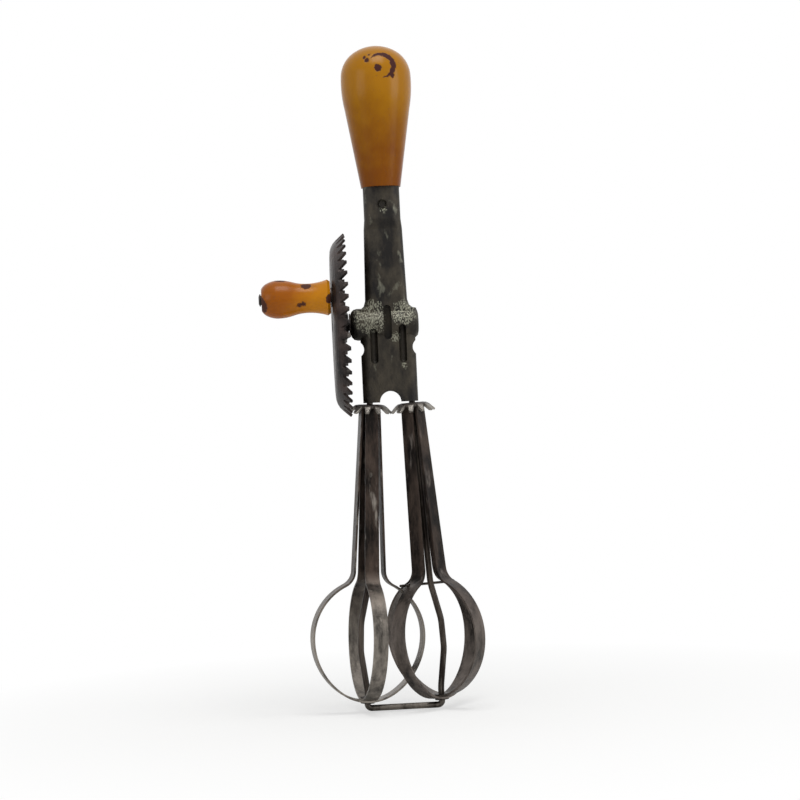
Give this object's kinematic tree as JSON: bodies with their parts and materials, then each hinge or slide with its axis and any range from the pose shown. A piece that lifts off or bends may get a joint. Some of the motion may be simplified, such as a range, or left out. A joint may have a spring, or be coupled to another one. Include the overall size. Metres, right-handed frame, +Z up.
{
  "type": "hand_cranked_rotary_beater",
  "caption": "Hand cranked rotary beater with a turned wood grip, toothed crank wheel, sheet steel frame and two counter-turning cages of flat strip",
  "frame": {"origin": "middle of the hand grip, on the tool's long axis", "axes": "+Z up the tool towards the grip's top, -X towards the crank wheel and its knob, -Y the front with the grooves facing the viewer"},
  "size_m": [0.0938, 0.0832, 0.3007],
  "materials": {
    "grip_paint": "worn amber gloss paint on turned wood",
    "knob_paint": "worn orange-yellow gloss paint on turned wood",
    "frame_steel": "dark tarnished sheet steel with worn bright zinc patches",
    "wheel_steel": "tarnished pressed steel",
    "strip_steel": "tinned steel strip, rusty and pitted",
    "wire_steel": "drawn steel wire, dull"
  },
  "bodies": {
    "frame": {"handle_grip": "grip_paint", "frame_front": "frame_steel", "frame_back": "frame_steel", "wheel_axle": "wire_steel", "axle_bush": "wire_steel", "axle_washer": "wire_steel", "spindle_wire": "wire_steel"},
    "drive_wheel": {"drive_wheel": "wheel_steel", "wheel_hub": "wheel_steel", "knob_stud": "wire_steel", "knob_washer": "wire_steel"},
    "crank_knob": {"crank_knob": "knob_paint"},
    "left_beater": {"left_pinion": "wheel_steel", "left_outer_hoop": "strip_steel", "left_inner_hoop": "strip_steel", "left_bottom_eyelet": "wire_steel"},
    "right_beater": {"right_pinion": "wheel_steel", "right_outer_hoop": "strip_steel", "right_inner_hoop": "strip_steel", "right_bottom_eyelet": "wire_steel", "right_brace_wire": "wire_steel"}
  },
  "joints": [
    {"name": "wheel_turn", "type": "hinge", "parent": "frame", "child": "drive_wheel", "pos_m": [-0.0239, 0, -0.0937], "axis": [1, 0, 0], "continuous": true},
    {"name": "knob_spin", "type": "hinge", "parent": "drive_wheel", "child": "crank_knob", "pos_m": [-0.0403, -0.0254, -0.08191], "axis": [1, 0, 0], "continuous": true},
    {"name": "left_beater_spin", "type": "hinge", "parent": "frame", "child": "left_beater", "pos_m": [-0.0096, 0, -0.12995], "axis": [0.0541, 0, 0.9985], "continuous": true},
    {"name": "right_beater_spin", "type": "hinge", "parent": "frame", "child": "right_beater", "pos_m": [0.0096, 0, -0.12995], "axis": [-0.0541, 0, 0.9985], "continuous": true}
  ],
  "couplings": [
    {"joint": "left_beater_spin", "follows": "wheel_turn", "ratio": -4},
    {"joint": "right_beater_spin", "follows": "wheel_turn", "ratio": 4}
  ]
}
